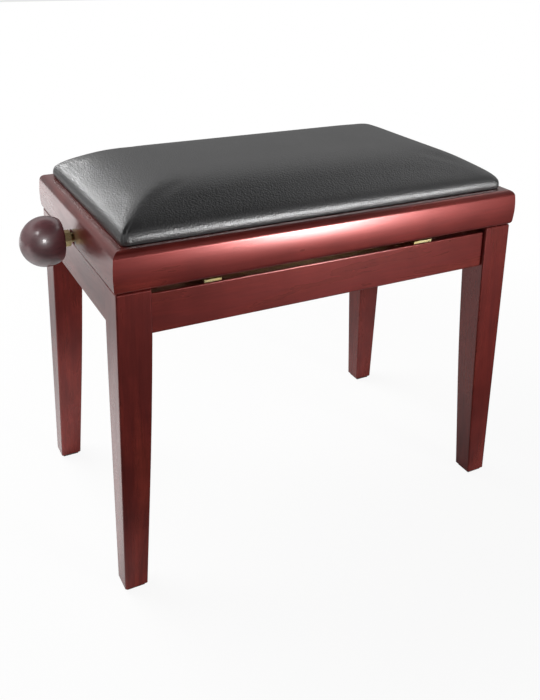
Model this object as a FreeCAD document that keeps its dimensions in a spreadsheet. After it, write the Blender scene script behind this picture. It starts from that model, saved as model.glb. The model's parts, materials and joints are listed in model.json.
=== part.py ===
import FreeCAD, Part
import Sketcher
import os

# Adjustable piano bench: wooden base and seat frame, upholstered seat and a screw lift with crossed arms.
# Millimetres, +Z up, the knob on the -X end, the front towards -Y, the floor at Z = 0.

doc = FreeCAD.newDocument("adjustable_piano_bench")
Vector = FreeCAD.Vector

# Driving dimensions
SIZES = {
    # seat frame
    "frame_length": 560,
    "frame_depth": 331,
    "rail_height": 48.6,
    "rail_thickness": 22,
    "rail_face_radius": 160,
    "rail_top_round": 9,
    "rail_bottom_round": 6,
    "notch_width": 21,
    "seat_block_reach": 40,
    "seat_block_height": 24,
    # legs and aprons
    "leg_length": 385,
    "leg_size": 41.2,
    "leg_inset": 3,
    "foot_size": 28.3,
    "knee_size": 34.3,
    "knee_height": 127.5,
    "taper_radius": 8100,
    "leg_round": 2,
    "foot_chamfer": 1.5,
    "taper_start": 4,
    "pad_size": 22,
    "pad_thickness": 2.5,
    "apron_height": 48.5,
    "apron_thickness": 20,
    "apron_inset": 5,
    "apron_drop": 7,
    "apron_round": 1.5,
    "dowel_diameter": 8,
    "dowel_length": 40,
    "dowel_spacing": 26,
    # corner blocks of the base with their bolts
    "block_reach": 62,
    "block_height": 40,
    "bolt_diameter": 8,
    "bolt_length": 46,
    "bolt_head_across": 13,
    "bolt_head_height": 5.5,
    "washer_diameter": 20,
    "washer_thickness": 2,
    # upholstered seat
    "cushion_inset": 14.4,
    "cover_thickness": 1.2,
    "cover_lip": 24,
    "board_thickness": 12,
    "board_setback": 5,
    "cushion_wall": 6,
    "wall_draw_in": 1.5,
    "edge_round": 12,
    "shoulder_radius": 149,
    "shoulder_slope": 40,
    "crest_slope": 2,
    # crossed arms
    "pivot_setback": 120,
    "slide_setback": 143.5,
    "spindle_rise": 11.5,
    "scissor_gap": 30,
    "arm_width": 20,
    "arm_thickness": 4,
    "pivot_diameter": 10,
    "centre_pin_diameter": 8,
    "pin_head_height": 2,
    "pin_head_margin": 3,
    "running_fit": 0.05,
    "link_slack": 0.6,
    "lift_travel": 80,
    "slot_end_gap": 2,
    # brackets, counted outwards from the middle of the bench
    "seat_plate_offset": 100,
    "plate_thickness": 3,
    "plate_margin": 8,
    "arm_side_gap": 1,
    "arm_gap": 1.5,
    "base_plate_gap": 1,
    "head_gap": 0.2,
    "flange_setback": 2.5,
    "pivot_flange_width": 21,
    "slide_flange_width": 28,
    "angle_flange_width": 24,
    "angle_strip_height": 16,
    "clip_thickness": 1.2,
    "clip_gap": 0.3,
    "clip_margin": 3,
    "shaft_projection": 1.5,
    "shaft_chamfer": 1,
    # spindle and knob
    "spindle_diameter": 12,
    "nut_bar_size": 20,
    "bush_wall": 3,
    "bush_flange": 3,
    "bush_flange_thickness": 2,
    "spindle_plate_width": 34,
    "spindle_flange_length": 24,
    "bearing_setback": 48,
    "tail_gap": 30,
    "collar_diameter": 22,
    "collar_length": 8,
    "thrust_gap": 0.3,
    "knob_diameter": 62,
    "knob_length": 50.6,
    "knob_gap": 12,
    "knob_round": 8,
    "knob_bore_depth": 28,
    "lock_nut_across": 18,
    "lock_nut_length": 10,
    "tail_nut_length": 8,
    "tail_projection": 4,
    # wood screws
    "screw_diameter": 4,
    "screw_length": 14,
    "screw_head_diameter": 8,
    "screw_head_height": 2.2,
    "block_screw_length": 33,
}

sheet = doc.addObject("Spreadsheet::Sheet", "Sizes")
for row, (alias, size) in enumerate(SIZES.items(), start=1):
    sheet.set(f"A{row}", alias)
    sheet.set(f"B{row}", str(size))
    sheet.setAlias(f"B{row}", alias)
doc.recompute()

# Levels and places worked out from the sheet, as formulas. X is counted from the middle of the bench.
BENCH_MIDDLE = "((Sizes.knob_gap + Sizes.knob_length) / 2)"
HALF_LENGTH = "(Sizes.frame_length / 2)"
HALF_DEPTH = "(Sizes.frame_depth / 2)"
LEG_TOP = "(Sizes.pad_thickness + Sizes.leg_length)"
RAIL_TOP = f"({LEG_TOP} + Sizes.rail_height)"
BOARD_BOTTOM = f"({RAIL_TOP} + Sizes.cover_thickness)"
APRON_TOP = f"({LEG_TOP} - Sizes.apron_drop)"
APRON_MIDDLE = f"({APRON_TOP} - Sizes.apron_height / 2)"
APRON_SETBACK = "(Sizes.leg_inset + Sizes.apron_inset)"
LEG_INNER = "(Sizes.leg_inset + Sizes.leg_size)"
AXIS_Z = f"({LEG_TOP} + Sizes.spindle_rise)"
LOWER_Z = f"({AXIS_Z} - Sizes.scissor_gap)"
ARM_SPAN = "(Sizes.frame_length - Sizes.pivot_setback - Sizes.slide_setback)"
ARM_LENGTH = f"sqrt({ARM_SPAN} ^ 2 + Sizes.scissor_gap ^ 2)"
ARM_ANGLE = f"asin(Sizes.scissor_gap / {ARM_LENGTH})"
PIVOT_X = f"(Sizes.pivot_setback - {HALF_LENGTH})"
SLIDE_X = f"({PIVOT_X} + {ARM_SPAN})"
SLIDE_TRAVEL = f"({ARM_SPAN} - sqrt({ARM_LENGTH} ^ 2 - (Sizes.scissor_gap + Sizes.lift_travel) ^ 2))"
SEAT_PLATE_OUTER = "(Sizes.seat_plate_offset + Sizes.plate_thickness)"
ARM_B_INNER = f"({SEAT_PLATE_OUTER} + Sizes.arm_side_gap)"
ARM_B_OUTER = f"({ARM_B_INNER} + Sizes.arm_thickness)"
ARM_A_INNER = f"({ARM_B_OUTER} + Sizes.arm_gap)"
ARM_A_OUTER = f"({ARM_A_INNER} + Sizes.arm_thickness)"
BASE_PLATE_INNER = f"({ARM_A_OUTER} + Sizes.base_plate_gap)"
BASE_PLATE_OUTER = f"({BASE_PLATE_INNER} + Sizes.plate_thickness)"
EAR_RADIUS = "(Sizes.pivot_diameter / 2 + Sizes.plate_margin)"
CUSHION_HALF_LENGTH = f"({HALF_LENGTH} - Sizes.cushion_inset)"
CUSHION_HALF_DEPTH = f"({HALF_DEPTH} - Sizes.cushion_inset)"
KNOB_FACE = f"(-{HALF_LENGTH} - Sizes.knob_gap)"
BEARING_X = f"(Sizes.bearing_setback - {HALF_LENGTH})"
TAIL_X = f"({SLIDE_X} + Sizes.tail_gap)"
BUSH_LENGTH = "(Sizes.plate_thickness + 2 * Sizes.bush_flange_thickness)"
BUSH_BORE = "(Sizes.spindle_diameter + 2 * Sizes.running_fit)"
BUSH_DIAMETER = f"({BUSH_BORE} + 2 * Sizes.bush_wall)"
TAIL_NUT_X = f"({TAIL_X} - Sizes.bush_flange_thickness + {BUSH_LENGTH} + Sizes.thrust_gap)"
RUNNING_HOLE = "(Sizes.pivot_diameter + 2 * Sizes.running_fit)"
SHAFT_END = "(Sizes.clip_gap + Sizes.clip_thickness + Sizes.shaft_projection)"
SHAFT_HALF = f"({BASE_PLATE_OUTER} + {SHAFT_END})"
NUT_BAR_HALF = f"({ARM_A_OUTER} + {SHAFT_END})"
FLANGE_UNDERSIDE = f"({BOARD_BOTTOM} - Sizes.plate_thickness)"

COUNTER_CLOCKWISE = 1
CLOCKWISE = -1
UPRIGHT = FreeCAD.Rotation()
UPSIDE_DOWN = FreeCAD.Rotation(Vector(1, 0, 0), 180)
ALONG_X = FreeCAD.Rotation(Vector(0, 0, 1), Vector(1, 0, 0))
ALONG_Y = FreeCAD.Rotation(Vector(0, 0, 1), Vector(0, 1, 0))


def number(formula):
    """The value in millimetres that a formula over the sheet has now."""
    return float(sheet.evalExpression(formula))


def place(piece, x, y, z, rotation=UPRIGHT):
    """Put a piece at a point counted from the middle of the bench, on the floor."""
    piece.Placement = FreeCAD.Placement(Vector(0, 0, 0), rotation)
    piece.setExpression("Placement.Base.x", f"{x} + {BENCH_MIDDLE}")
    piece.setExpression("Placement.Base.y", y)
    piece.setExpression("Placement.Base.z", z)
    return piece


# Sketch helpers

def new_body(label):
    body = doc.addObject("PartDesign::Body", label)
    body.Label = label
    return body


def new_sketch(body, role, height="0"):
    """A sketch on one of the body's own origin planes, raised along that plane's normal."""
    plane = next(feature for feature in body.Origin.OriginFeatures if feature.Role == role)
    sketch = body.newObject("Sketcher::SketchObject", "Sketch")
    sketch.AttachmentSupport = [(plane, "")]
    sketch.MapMode = "FlatFace"
    sketch.setExpression("AttachmentOffset.Base.z", height)
    return sketch


def fix(sketch, geometry, point, direction, formula):
    """Hold one coordinate of a sketch point at a formula over the sheet."""
    if formula == "0":
        axis = -2 if direction == "X" else -1
        sketch.addConstraint(Sketcher.Constraint("PointOnObject", geometry, point, axis))
        return
    rule = Sketcher.Constraint("Distance" + direction, -1, 1, geometry, point, number(formula))
    index = sketch.addConstraint(rule)
    sketch.setExpression(f"Constraints[{index}]", formula)


def arc_centre(start, end, radius, turn):
    """The centre of the short arc of that radius from start to end."""
    chord = end - start
    height = (radius ** 2 - chord.Length ** 2 / 4) ** 0.5
    side = Vector(-chord.y, chord.x, 0).normalize()
    return (start + end) / 2 + side * height * turn


def add_arc(sketch, start, end, centre, turn):
    circle = Part.Circle(centre, Vector(0, 0, 1), (start - centre).Length)
    first, last = (start, end) if turn == COUNTER_CLOCKWISE else (end, start)
    return sketch.addGeometry(Part.ArcOfCircle(circle, circle.parameter(first), circle.parameter(last)))


def outline(sketch, *corners):
    """Draw a closed loop. A corner is (x, y), or (x, y, turn, radius) or (x, y, turn, centre x, centre y)
    where an arc leads to it from the corner before."""
    places = [Vector(number(corner[0]), number(corner[1]), 0) for corner in corners]
    sides = []
    for index, corner in enumerate(corners):
        start, end = places[index - 1], places[index]
        if len(corner) == 2:
            sides.append((sketch.addGeometry(Part.LineSegment(start, end)), 1, 2))
            continue
        turn = corner[2]
        if len(corner) == 4:
            centre = arc_centre(start, end, number(corner[3]), turn)
        else:
            centre = Vector(number(corner[3]), number(corner[4]), 0)
        geometry = add_arc(sketch, start, end, centre, turn)
        sides.append((geometry, 1, 2) if turn == COUNTER_CLOCKWISE else (geometry, 2, 1))
    for index, corner in enumerate(corners):
        geometry, _, last = sides[index]
        following, first, _ = sides[(index + 1) % len(sides)]
        sketch.addConstraint(Sketcher.Constraint("Coincident", geometry, last, following, first))
        if len(corner) < 5:
            fix(sketch, geometry, last, "X", corner[0])
            fix(sketch, geometry, last, "Y", corner[1])
        if len(corner) == 4:
            rule = sketch.addConstraint(Sketcher.Constraint("Radius", geometry, number(corner[3])))
            sketch.setExpression(f"Constraints[{rule}]", corner[3])
        if len(corner) == 5:
            fix(sketch, geometry, 3, "X", corner[3])
            fix(sketch, geometry, 3, "Y", corner[4])
            spoke = places[index] - Vector(number(corner[3]), number(corner[4]), 0)
            direction = "Y" if abs(spoke.x) > abs(spoke.y) else "X"
            fix(sketch, geometry, last, direction, corner[1] if direction == "Y" else corner[0])


def ring(sketch, x, y, diameter):
    centre = Vector(number(x), number(y), 0)
    circle = sketch.addGeometry(Part.Circle(centre, Vector(0, 0, 1), number(diameter) / 2))
    fix(sketch, circle, 3, "X", x)
    fix(sketch, circle, 3, "Y", y)
    rule = sketch.addConstraint(Sketcher.Constraint("Diameter", circle, number(diameter)))
    sketch.setExpression(f"Constraints[{rule}]", diameter)


def rectangle(sketch, left, low, right, high):
    outline(sketch, (left, low), (right, low), (right, high), (left, high))


def stadium(sketch, left, right, y, radius):
    """A round-ended strip from one centre to the other."""
    low, high = f"{y} - {radius}", f"{y} + {radius}"
    outline(sketch, (left, low, COUNTER_CLOCKWISE, left, y), (right, low),
            (right, high, COUNTER_CLOCKWISE, right, y), (left, high))


# Feature helpers

def pad(body, sketch, length, towards_back=False):
    feature = body.newObject("PartDesign::Pad", "Pad")
    feature.Profile = sketch
    feature.setExpression("Length", length)
    feature.Reversed = towards_back
    doc.recompute()
    return feature


def pocket(body, sketch):
    """Cut a sketch right through the body, both ways."""
    before = body.Shape.Volume
    feature = body.newObject("PartDesign::Pocket", "Pocket")
    feature.Profile = sketch
    feature.Type = "ThroughAll"
    feature.Midplane = True
    doc.recompute()
    if not body.Shape.Volume < before:
        raise RuntimeError(f"a cut in {body.Label} removes nothing")
    return feature


def revolve(body, sketch, axis):
    feature = body.newObject("PartDesign::Revolution", "Revolution")
    feature.Profile = sketch
    feature.ReferenceAxis = (sketch, [axis])
    feature.Angle = 360
    doc.recompute()
    return feature


def dress(body, kind, size, chosen):
    """Fillet or chamfer the edges that the test chooses."""
    base = body.Tip
    names = [f"Edge{i}" for i, edge in enumerate(base.Shape.Edges, start=1) if chosen(edge)]
    feature = body.newObject(f"PartDesign::{kind}", kind)
    feature.Base = (base, names)
    feature.setExpression("Radius" if kind == "Fillet" else "Size", size)
    doc.recompute()
    return feature


def runs_along(edge, direction):
    """Whether the chord of an edge runs nearly along a direction."""
    if len(edge.Vertexes) < 2:
        return False
    chord = edge.Vertexes[1].Point - edge.Vertexes[0].Point
    return abs(chord.normalize() * direction) > 0.98


# Solids from primitives and copies of them

def cylinder(label, diameter, height):
    piece = doc.addObject("Part::Cylinder", label)
    piece.setExpression("Radius", f"{diameter} / 2")
    piece.setExpression("Height", height)
    return piece


def hexagon(label, across, height):
    piece = doc.addObject("Part::Prism", label)
    piece.Polygon = 6
    piece.setExpression("Circumradius", f"{across} / sqrt(3)")
    piece.setExpression("Height", height)
    return piece


def box(label, length, width, height):
    piece = doc.addObject("Part::Box", label)
    piece.setExpression("Length", length)
    piece.setExpression("Width", width)
    piece.setExpression("Height", height)
    return piece


def cut(label, base, tool):
    piece = doc.addObject("Part::Cut", label)
    piece.Label = label
    piece.Base = base
    piece.Tool = tool
    return piece


def fuse(label, base, tool):
    piece = doc.addObject("Part::Fuse", label)
    piece.Label = label
    piece.Base = base
    piece.Tool = tool
    return piece


def group(label, members):
    piece = doc.addObject("Part::Compound", label)
    piece.Label = label
    piece.Links = members
    return piece


def mirror_ends(source, label="Mirror"):
    """The same piece at the other end of the bench."""
    piece = doc.addObject("Part::Mirroring", label)
    piece.Label = label
    piece.Source = source
    piece.Normal = Vector(1, 0, 0)
    piece.setExpression("Base.x", BENCH_MIDDLE)
    return piece


def mirror_sides(source, label="Mirror"):
    """The same piece on the other long side of the bench."""
    piece = doc.addObject("Part::Mirroring", label)
    piece.Label = label
    piece.Source = source
    piece.Normal = Vector(0, 1, 0)
    return piece


def both_sides(source):
    return [source, mirror_sides(source)]


def four_corners(source):
    left = both_sides(source)
    return left + [mirror_ends(piece) for piece in left]


def tube(label, outer, inner, length, x, y, z, rotation):
    """A plain ring or sleeve along an axis."""
    shell = place(cylinder(label + "_outer", outer, length), x, y, z, rotation)
    bore = place(cylinder(label + "_bore", inner, length), x, y, z, rotation)
    return cut(label, shell, bore)


def wood_screw(x, y, z, length, rotation):
    """A pan head screw: the head stands on the point given, the shank goes the other way."""
    head = cylinder("screw_head", "Sizes.screw_head_diameter", "Sizes.screw_head_height")
    place(head, x, y, z, rotation)
    drop = "-1" if rotation == UPRIGHT else "1"
    start = f"{z} + {drop} * {length}"
    shank = place(cylinder("screw_shank", "Sizes.screw_diameter", length), x, y, start, rotation)
    return fuse("screw", head, shank)


# Base: legs, aprons, dowels, corner blocks and pads

def leg_blank():
    """Front left leg: upright outer faces, inner faces drawn in on a long arc, then straight to the foot."""
    body = new_body("leg_blank")
    taper_top = "(Sizes.leg_length - Sizes.apron_drop - Sizes.apron_height - Sizes.taper_start)"
    face = new_sketch(body, "XZ_Plane")
    outline(face, ("0", "0"), ("Sizes.foot_size", "0"), ("Sizes.knee_size", "Sizes.knee_height"),
            ("Sizes.leg_size", taper_top, COUNTER_CLOCKWISE, "Sizes.taper_radius"),
            ("Sizes.leg_size", "Sizes.leg_length"), ("0", "Sizes.leg_length"))
    pad(body, face, "Sizes.leg_size", towards_back=True)
    waste = new_sketch(body, "YZ_Plane")
    outline(waste, ("Sizes.foot_size", "0"), ("Sizes.leg_size", "0"), ("Sizes.leg_size", taper_top),
            ("Sizes.knee_size", "Sizes.knee_height", CLOCKWISE, "Sizes.taper_radius"))
    pocket(body, waste)
    top = number("Sizes.leg_length")
    dress(body, "Fillet", "Sizes.leg_round",
          lambda edge: runs_along(edge, Vector(0, 0, 1)) or edge.BoundBox.ZMin > top - 0.01)
    dress(body, "Chamfer", "Sizes.foot_chamfer", lambda edge: edge.BoundBox.ZMax < 0.01)
    return place(body, f"-{HALF_LENGTH} + Sizes.leg_inset", f"-{HALF_DEPTH} + Sizes.leg_inset",
                 "Sizes.pad_thickness")


def apron_blank(label, length):
    """A plain apron along its own X, outer face at Y = 0, top edge at Z = 0, with eased long edges."""
    body = new_body(label)
    section = new_sketch(body, "YZ_Plane")
    rectangle(section, "0", "-Sizes.apron_height", "Sizes.apron_thickness", "0")
    pad(body, section, length)
    dress(body, "Fillet", "Sizes.apron_round", lambda edge: runs_along(edge, Vector(1, 0, 0)))
    return body


def apron_dowels():
    """Two dowels at each end of each apron, half in the apron and half in the leg."""
    middle = f"({APRON_SETBACK} + Sizes.apron_thickness / 2)"
    start = f"({LEG_INNER} - Sizes.dowel_length / 2)"
    pins = []
    for step in ("-1", "1"):
        level = f"{APRON_MIDDLE} + {step} * Sizes.dowel_spacing / 2"
        long_pin = cylinder("long_apron_dowel", "Sizes.dowel_diameter", "Sizes.dowel_length")
        place(long_pin, f"-{HALF_LENGTH} + {start}", f"-{HALF_DEPTH} + {middle}", level, ALONG_X)
        short_pin = cylinder("short_apron_dowel", "Sizes.dowel_diameter", "Sizes.dowel_length")
        place(short_pin, f"-{HALF_LENGTH} + {middle}", f"-{HALF_DEPTH} + {start}", level, ALONG_Y)
        pins += four_corners(long_pin) + four_corners(short_pin)
    return group("apron_dowels", pins)


def corner_fixings():
    """The block in the front left corner of the base with its bolt and washer, aimed at the leg."""
    inner = f"({APRON_SETBACK} + Sizes.apron_thickness)"
    leg_corner = f"({LEG_INNER} - {inner})"
    corner_x, corner_y = f"-{HALF_LENGTH} + {inner}", f"-{HALF_DEPTH} + {inner}"
    body = new_body("corner_block_blank")
    plan = new_sketch(body, "XY_Plane")
    outline(plan, (leg_corner, "0"), ("Sizes.block_reach", "0"), ("0", "Sizes.block_reach"),
            ("0", leg_corner), (leg_corner, leg_corner))
    pad(body, plan, "Sizes.block_height")
    place(body, corner_x, corner_y, f"{APRON_MIDDLE} - Sizes.block_height / 2")
    aim = FreeCAD.Rotation(Vector(0, 0, 1), Vector(1, 1, 0))

    def aimed(piece, distance):
        along = f"Sizes.block_reach / 2 + ({distance}) / sqrt(2)"
        return place(piece, f"{corner_x} + {along}", f"{corner_y} + {along}", APRON_MIDDLE, aim)

    head = hexagon("bolt_head", "Sizes.bolt_head_across", "Sizes.bolt_head_height")
    aimed(head, "Sizes.washer_thickness")
    shank = cylinder("bolt_shank", "Sizes.bolt_diameter", "Sizes.bolt_length")
    aimed(shank, "Sizes.washer_thickness - Sizes.bolt_length")
    bolt = fuse("leg_bolt", head, shank)
    disc = aimed(cylinder("washer_disc", "Sizes.washer_diameter", "Sizes.washer_thickness"), "0")
    return cut("corner_block", body, bolt), bolt, cut("leg_washer", disc, bolt)


def foot_pad():
    inset = "(Sizes.leg_inset + (Sizes.foot_size - Sizes.pad_size) / 2)"
    piece = box("foot_pad", "Sizes.pad_size", "Sizes.pad_size", "Sizes.pad_thickness")
    return place(piece, f"-{HALF_LENGTH} + {inset}", f"-{HALF_DEPTH} + {inset}", "0")


# Seat frame

def edge_arc(rounding, level):
    """The centre of a rail's edge arc at a level, and the point where it runs into the arc of the face."""
    face, middle = "Sizes.rail_face_radius", "(Sizes.rail_height / 2)"
    centre_x = f"({face} - sqrt(({face} - {rounding}) ^ 2 - ({level} - {middle}) ^ 2))"
    reach = f"({face} / ({face} - {rounding}))"
    end_x = f"({face} + ({centre_x} - {face}) * {reach})"
    end_z = f"({middle} + ({level} - {middle}) * {reach})"
    return centre_x, level, end_x, end_z


def rail_blank(label, length):
    """A seat rail along its own X with its outer face at Y = 0: a slightly rounded face, rounded outer edges
    that run smoothly into it, and mitred ends."""
    body = new_body(label)
    thick, high, face = "Sizes.rail_thickness", "Sizes.rail_height", "Sizes.rail_face_radius"
    middle = f"({high} / 2)"
    top_x, top_z, top_end_x, top_end_z = edge_arc("Sizes.rail_top_round", f"({high} - Sizes.rail_top_round)")
    low_x, low_z, low_end_x, low_end_z = edge_arc("Sizes.rail_bottom_round", "Sizes.rail_bottom_round")
    section = new_sketch(body, "YZ_Plane")
    outline(section, (thick, "0"), (low_x, "0"), (low_end_x, low_end_z, CLOCKWISE, low_x, low_z),
            (top_end_x, top_end_z, CLOCKWISE, face, middle), (top_x, high, CLOCKWISE, top_x, top_z),
            (thick, high))
    pad(body, section, length)
    mitres = new_sketch(body, "XY_Plane")
    outline(mitres, ("0", "0"), (thick, thick), ("0", thick))
    outline(mitres, (length, "0"), (length, thick), (f"{length} - {thick}", thick))
    pocket(body, mitres)
    return body


def notch(rail):
    """An open notch in the lower edge of the left rail, where the spindle comes out."""
    middle, half = f"{HALF_DEPTH}", "Sizes.notch_width / 2"
    sketch = new_sketch(rail, "XZ_Plane")
    outline(sketch, (f"{middle} - {half}", "0"), (f"{middle} + {half}", "0"),
            (f"{middle} + {half}", "Sizes.spindle_rise"),
            (f"{middle} - {half}", "Sizes.spindle_rise", COUNTER_CLOCKWISE, middle, "Sizes.spindle_rise"))
    pocket(rail, sketch)


def turn(degrees):
    return FreeCAD.Rotation(Vector(0, 0, 1), degrees)


def seat_rails():
    front = rail_blank("seat_rail_front", "Sizes.frame_length")
    place(front, f"-{HALF_LENGTH}", f"-{HALF_DEPTH}", LEG_TOP)
    rear = rail_blank("seat_rail_rear", "Sizes.frame_length")
    place(rear, HALF_LENGTH, HALF_DEPTH, LEG_TOP, turn(180))
    left = rail_blank("seat_rail_left", "Sizes.frame_depth")
    notch(left)
    place(left, f"-{HALF_LENGTH}", HALF_DEPTH, LEG_TOP, turn(-90))
    right = rail_blank("seat_rail_right", "Sizes.frame_depth")
    place(right, HALF_LENGTH, f"-{HALF_DEPTH}", LEG_TOP, turn(90))
    return [front, rear, left, right]


def seat_block_fixings():
    """The block in the front left corner of the seat frame and the screw that holds the board down on it."""
    body = new_body("seat_block_blank")
    plan = new_sketch(body, "XY_Plane")
    outline(plan, ("0", "0"), ("Sizes.seat_block_reach", "0"), ("0", "Sizes.seat_block_reach"))
    pad(body, plan, "Sizes.seat_block_height")
    x, y = f"-{HALF_LENGTH} + Sizes.rail_thickness", f"-{HALF_DEPTH} + Sizes.rail_thickness"
    bottom = f"{RAIL_TOP} - Sizes.seat_block_height"
    place(body, x, y, bottom)
    third = "Sizes.seat_block_reach / 3"
    screw = wood_screw(f"{x} + {third}", f"{y} + {third}", bottom, "Sizes.block_screw_length", UPSIDE_DOWN)
    return cut("seat_block", body, screw), screw


# Upholstered seat

def crowned_profile(body, role, half, skin, low, length):
    """One crowned section, drawn inside the cushion's outer face by a skin, from a level up to the crown.
    Wall, edge, shoulder and crown are arcs that run smoothly into each other."""
    side = f"({half} - {skin})"
    base_side = f"({side} - Sizes.wall_draw_in)"
    wall = f"({RAIL_TOP} + Sizes.cushion_wall)"
    wall_height = f"({wall} - {low})"
    wall_radius = f"(({wall_height} ^ 2 + Sizes.wall_draw_in ^ 2) / (2 * Sizes.wall_draw_in))"
    slope, crest = "(Sizes.shoulder_slope * 1 deg)", "(Sizes.crest_slope * 1 deg)"
    edge_x = f"({half} - Sizes.edge_round)"
    shoulder_x = f"({edge_x} + (Sizes.edge_round - Sizes.shoulder_radius) * sin({slope}))"
    shoulder_z = f"({wall} + (Sizes.edge_round - Sizes.shoulder_radius) * cos({slope}))"
    crest_x = f"({shoulder_x} + Sizes.shoulder_radius * sin({crest}))"
    crown_z = f"({shoulder_z} + Sizes.shoulder_radius * cos({crest}) - {crest_x} / tan({crest}))"
    top_x = f"({shoulder_x} + (Sizes.shoulder_radius - {skin}) * sin({crest}))"
    top_z = f"({shoulder_z} + (Sizes.shoulder_radius - {skin}) * cos({crest}))"
    bend_x = f"({edge_x} + (Sizes.edge_round - {skin}) * sin({slope}))"
    bend_z = f"({wall} + (Sizes.edge_round - {skin}) * cos({slope}))"
    sketch = new_sketch(body, role, f"-({length}) / 2")
    outline(sketch, (f"-{base_side}", low, COUNTER_CLOCKWISE, wall_radius), (base_side, low),
            (side, wall, COUNTER_CLOCKWISE, wall_radius),
            (bend_x, bend_z, COUNTER_CLOCKWISE, edge_x, wall),
            (top_x, top_z, COUNTER_CLOCKWISE, shoulder_x, shoulder_z),
            (f"-{top_x}", top_z, COUNTER_CLOCKWISE, "0", crown_z),
            (f"-{bend_x}", bend_z, COUNTER_CLOCKWISE, f"-{shoulder_x}", shoulder_z),
            (f"-{side}", wall, COUNTER_CLOCKWISE, f"-{edge_x}", wall))
    pad(body, sketch, length)
    return body


def crowned_form(label, skin, low):
    """A cushion crowned both ways, with the hips that run in from its corners."""
    across = crowned_profile(new_body(label + "_long"), "XZ_Plane", CUSHION_HALF_LENGTH, skin, low,
                             "Sizes.frame_depth")
    along = crowned_profile(new_body(label + "_short"), "YZ_Plane", CUSHION_HALF_DEPTH, skin, low,
                            "Sizes.frame_length")
    place(across, "0", "0", "0")
    place(along, "0", "0", "0")
    form = doc.addObject("Part::Common", label)
    form.Label = label
    form.Base = across
    form.Tool = along
    return form


def seat_board_blank():
    margin = "(Sizes.cushion_inset + Sizes.cover_thickness + Sizes.wall_draw_in + Sizes.board_setback)"
    piece = box("seat_board_blank", f"Sizes.frame_length - 2 * {margin}", f"Sizes.frame_depth - 2 * {margin}",
                "Sizes.board_thickness")
    return place(piece, f"-{HALF_LENGTH} + {margin}", f"-{HALF_DEPTH} + {margin}", BOARD_BOTTOM)


def seat_cover(inner, screws):
    """The vinyl skin over the foam and round the board's edge, with a lip turned in under the board."""
    outer = crowned_form("cover_outside", "0", RAIL_TOP)
    margin = "(Sizes.cushion_inset + Sizes.cover_thickness + Sizes.cover_lip)"
    mouth = box("cover_mouth", f"Sizes.frame_length - 2 * {margin}", f"Sizes.frame_depth - 2 * {margin}",
                "2 * Sizes.cover_thickness")
    below = f"{RAIL_TOP} - Sizes.cover_thickness"
    place(mouth, f"-{HALF_LENGTH} + {margin}", f"-{HALF_DEPTH} + {margin}", below)
    shell = cut("cover_shell", outer, inner)
    return cut("seat_cover", shell, group("cover_openings", [mouth, screws]))


# Crossed arms with their pins and shafts

def arm(label, pivot_hole, far_hole, centre_hole, y, z, lean):
    """A flat arm from its fixed end on the left, leaning up or down to its sliding end."""
    body = new_body(label)
    sketch = new_sketch(body, "XZ_Plane")
    stadium(sketch, "0", ARM_LENGTH, "0", "Sizes.arm_width / 2")
    ring(sketch, "0", "0", pivot_hole)
    ring(sketch, ARM_LENGTH, "0", far_hole)
    ring(sketch, f"{ARM_LENGTH} / 2", "0", centre_hole)
    pad(body, sketch, "Sizes.arm_thickness")
    place(body, PIVOT_X, y, z, FreeCAD.Rotation(Vector(0, lean, 0), 0))
    body.setExpression("Placement.Rotation.Angle", ARM_ANGLE)
    return body


def cross_shaft(label, half_length, x, z):
    """A round shaft from the front plates to the rear ones, with chamfered ends."""
    body = new_body(label)
    sketch = new_sketch(body, "XZ_Plane")
    ring(sketch, "0", "0", "Sizes.pivot_diameter")
    pad(body, sketch, f"2 * {half_length}")
    dress(body, "Chamfer", "Sizes.shaft_chamfer", lambda edge: edge.Curve.TypeId == "Part::GeomCircle")
    return place(body, x, half_length, z)


def clips(label, inner_offset, x, z):
    """Retaining rings at both ends of a cross shaft."""
    outer = "(Sizes.pivot_diameter + 2 * Sizes.clip_margin)"
    front = tube(label + "_front", outer, "Sizes.pivot_diameter", "Sizes.clip_thickness", x,
                 f"-{inner_offset} - Sizes.clip_gap - Sizes.clip_thickness", z, ALONG_Y)
    return group(label, both_sides(front))


def headed_pin(label, diameter, inner, outer, x, z):
    """A riveted pin across the front plates or arms, with a flat head at both ends."""
    body = new_body(label)
    sketch = new_sketch(body, "YZ_Plane")
    head = f"({diameter} / 2 + Sizes.pin_head_margin)"
    stem = f"{diameter} / 2"
    cap = "Sizes.pin_head_height"
    length = f"({outer} - {inner})"
    outline(sketch, (f"-{length} - {cap}", "0"), (cap, "0"), (cap, head), ("0", head), ("0", stem),
            (f"-{length}", stem), (f"-{length}", head), (f"-{length} - {cap}", head))
    revolve(body, sketch, "H_Axis")
    return place(body, x, f"-{inner}", z)


# Plates and angles

def round_ear(body, top):
    """A plate round the pivot hole at the origin, half round below and square above."""
    sketch = new_sketch(body, "XZ_Plane")
    outline(sketch, (f"-{EAR_RADIUS}", top), (f"-{EAR_RADIUS}", "0"),
            (EAR_RADIUS, "0", COUNTER_CLOCKWISE, "0", "0"), (EAR_RADIUS, top))
    pad(body, sketch, "Sizes.plate_thickness")


def slot_ear(body, rest, top):
    """A plate round a slot in which a shaft runs to the left from its place at rest."""
    sketch = new_sketch(body, "XZ_Plane")
    left, right = slot_ends(rest)
    outline(sketch, (f"{left} - {EAR_RADIUS}", top), (f"{left} - {EAR_RADIUS}", "0"),
            (left, f"-{EAR_RADIUS}", COUNTER_CLOCKWISE, left, "0"), (right, f"-{EAR_RADIUS}"),
            (f"{right} + {EAR_RADIUS}", "0", COUNTER_CLOCKWISE, right, "0"), (f"{right} + {EAR_RADIUS}", top))
    pad(body, sketch, "Sizes.plate_thickness")


def slot_ends(rest):
    return f"({rest} - {SLIDE_TRAVEL} - Sizes.slot_end_gap)", f"({rest} + Sizes.slot_end_gap)"


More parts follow.
